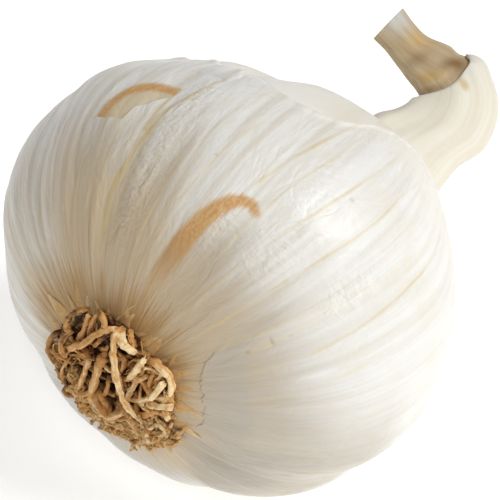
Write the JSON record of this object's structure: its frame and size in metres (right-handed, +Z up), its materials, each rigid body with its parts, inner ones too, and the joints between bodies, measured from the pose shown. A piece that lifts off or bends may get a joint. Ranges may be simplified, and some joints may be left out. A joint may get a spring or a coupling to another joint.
{
  "type": "garlic bulb",
  "caption": "Whole garlic bulb lying on its side: papery white head of cloves, curled cream neck with a dry brown stalk, and a brown root plate with cut root stubs.",
  "frame": {"origin": "middle of the flat spot that the bulb lies on, straight under the middle of its widest ring", "axes": "+Z up from the surface, +X along the bulb's axis from the root plate to the neck, +Y towards the side that the neck's tip curls to"},
  "size_m": [0.0797, 0.061, 0.0578],
  "materials": {
    "wrapper": "thin papery garlic skin, white with faint lengthwise yellow-brown veins, soft satin sheen, cream at the neck",
    "dry_stalk": "dried tan-brown inner leaf sheath, matt",
    "roots": "dry brown root plate and root stubs, rough and matt, paler where the roots are rubbed"
  },
  "bodies": {
    "root": {"head": "wrapper", "dry_neck": "dry_stalk", "root_plate": "roots"}
  },
  "joints": []
}
